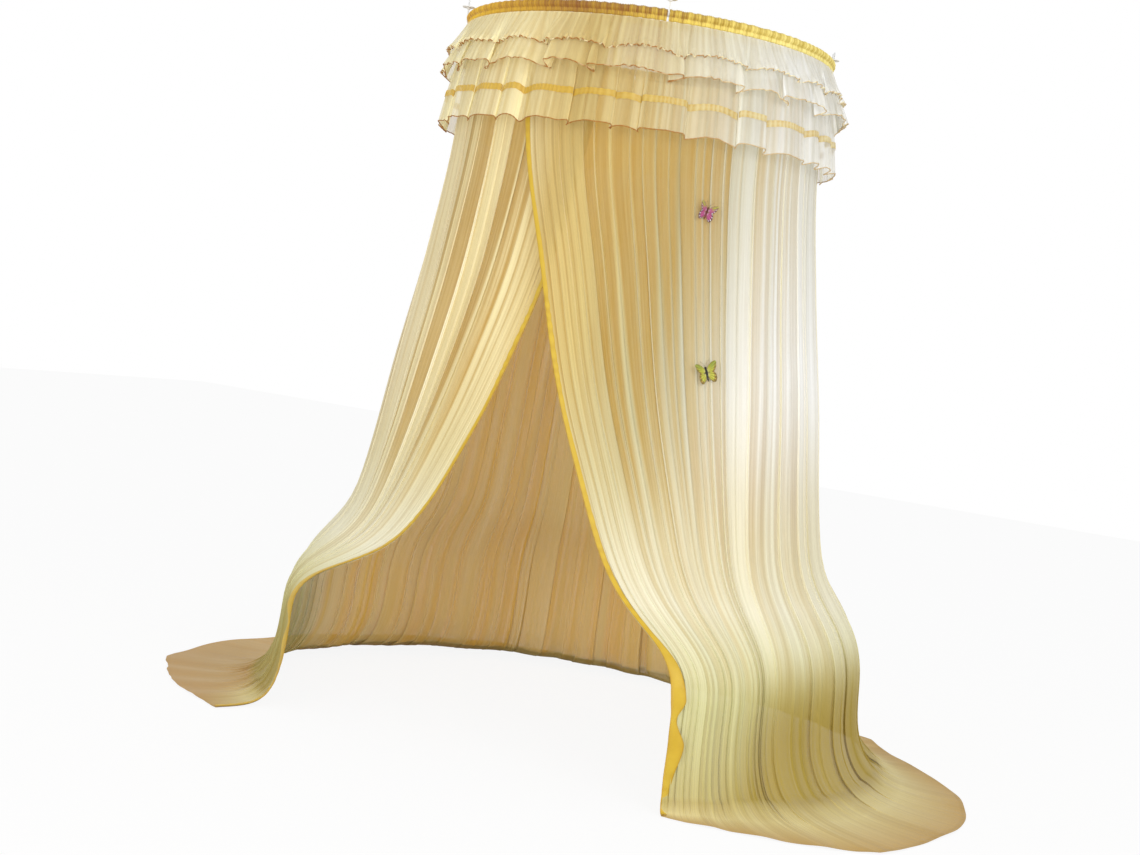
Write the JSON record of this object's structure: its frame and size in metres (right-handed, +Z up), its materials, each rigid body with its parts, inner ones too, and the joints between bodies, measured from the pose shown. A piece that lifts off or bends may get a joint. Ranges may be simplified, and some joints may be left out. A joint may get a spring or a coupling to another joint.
{
  "type": "bed crown canopy",
  "caption": "Round crown canopy for a bed: a hooped tube under the ceiling carries a gathered band, tiered ruffles and a floor-length net that parts at the front",
  "frame": {"origin": "on the ceiling plane, on the axis of the hoop", "axes": "+Z up, -Y towards the foot of the bed, where the net parts, +X to the right seen from the foot"},
  "size_m": [3.04, 2.2289, 2.559],
  "materials": {
    "white_paint": "satin white paint",
    "screw_steel": "zinc plated",
    "hoop_steel": "bright drawn tube",
    "gold_band": "gathered gold satin",
    "heading_tape": "woven cream tape",
    "ruffle_net": "soft cream net, picot edged",
    "net_cream": "sheer cream net",
    "gold_satin": "gold satin ribbon",
    "pink_wing": "printed organza",
    "green_wing": "printed organza",
    "butterfly_body": "matt moulded",
    "magnet": "nickel plated"
  },
  "bodies": {
    "ceiling_fittings": {"ceiling_plate_1": "white_paint", "ceiling_plate_2": "white_paint", "ceiling_plate_3": "white_paint", "ceiling_plate_4": "white_paint", "plate_screw_1": "screw_steel", "plate_screw_2": "screw_steel", "plate_screw_3": "screw_steel", "plate_screw_4": "screw_steel", "plate_screw_5": "screw_steel", "plate_screw_6": "screw_steel", "plate_screw_7": "screw_steel", "plate_screw_8": "screw_steel", "ceiling_hook_1": "white_paint", "ceiling_hook_2": "white_paint", "ceiling_hook_3": "white_paint", "ceiling_hook_4": "white_paint"},
    "crown": {"hoop_tube_1": "hoop_steel", "hoop_tube_2": "hoop_steel", "hoop_tube_3": "hoop_steel", "hoop_tube_4": "hoop_steel", "joint_spigot_1": "hoop_steel", "joint_spigot_2": "hoop_steel", "joint_spigot_3": "hoop_steel", "joint_spigot_4": "hoop_steel", "joint_screw_1": "screw_steel", "joint_screw_2": "screw_steel", "joint_screw_3": "screw_steel", "joint_screw_4": "screw_steel", "gathered_band_1": "gold_band", "gathered_band_2": "gold_band", "gathered_band_3": "gold_band", "gathered_band_4": "gold_band", "heading_tape": "heading_tape", "upper_ruffle": "ruffle_net", "middle_ruffle": "ruffle_net", "lower_ruffle": "ruffle_net", "satin_ribbon": "gold_satin", "side_right_net": "net_cream", "side_left_net": "net_cream", "back_right_net": "net_cream", "back_left_net": "net_cream"},
    "right_front": {"front_right_net": "net_cream", "right_binding": "gold_satin", "upper_butterfly_body": "butterfly_body", "upper_butterfly_left_wings": "pink_wing", "upper_butterfly_right_wings": "pink_wing", "upper_butterfly_front_magnet": "magnet", "upper_butterfly_rear_magnet": "magnet", "lower_butterfly_body": "butterfly_body", "lower_butterfly_left_wings": "green_wing", "lower_butterfly_right_wings": "green_wing", "lower_butterfly_front_magnet": "magnet", "lower_butterfly_rear_magnet": "magnet"},
    "left_front": {"front_left_net": "net_cream", "left_binding": "gold_satin"}
  },
  "joints": [
    {"name": "crown_lift", "type": "slide", "parent": "ceiling_fittings", "child": "crown", "axis": [0, 0, 1], "range_m": [0, 0.014]},
    {"name": "right_front_draw", "type": "hinge", "parent": "crown", "child": "right_front", "pos_m": [0, 0, -0.045], "axis": [0, 0, 1], "range_deg": [0, 45], "deforming": ["side_right_net"]},
    {"name": "left_front_draw", "type": "hinge", "parent": "crown", "child": "left_front", "pos_m": [0, 0, -0.045], "axis": [0, 0, -1], "range_deg": [0, 45], "deforming": ["side_left_net"]}
  ]
}
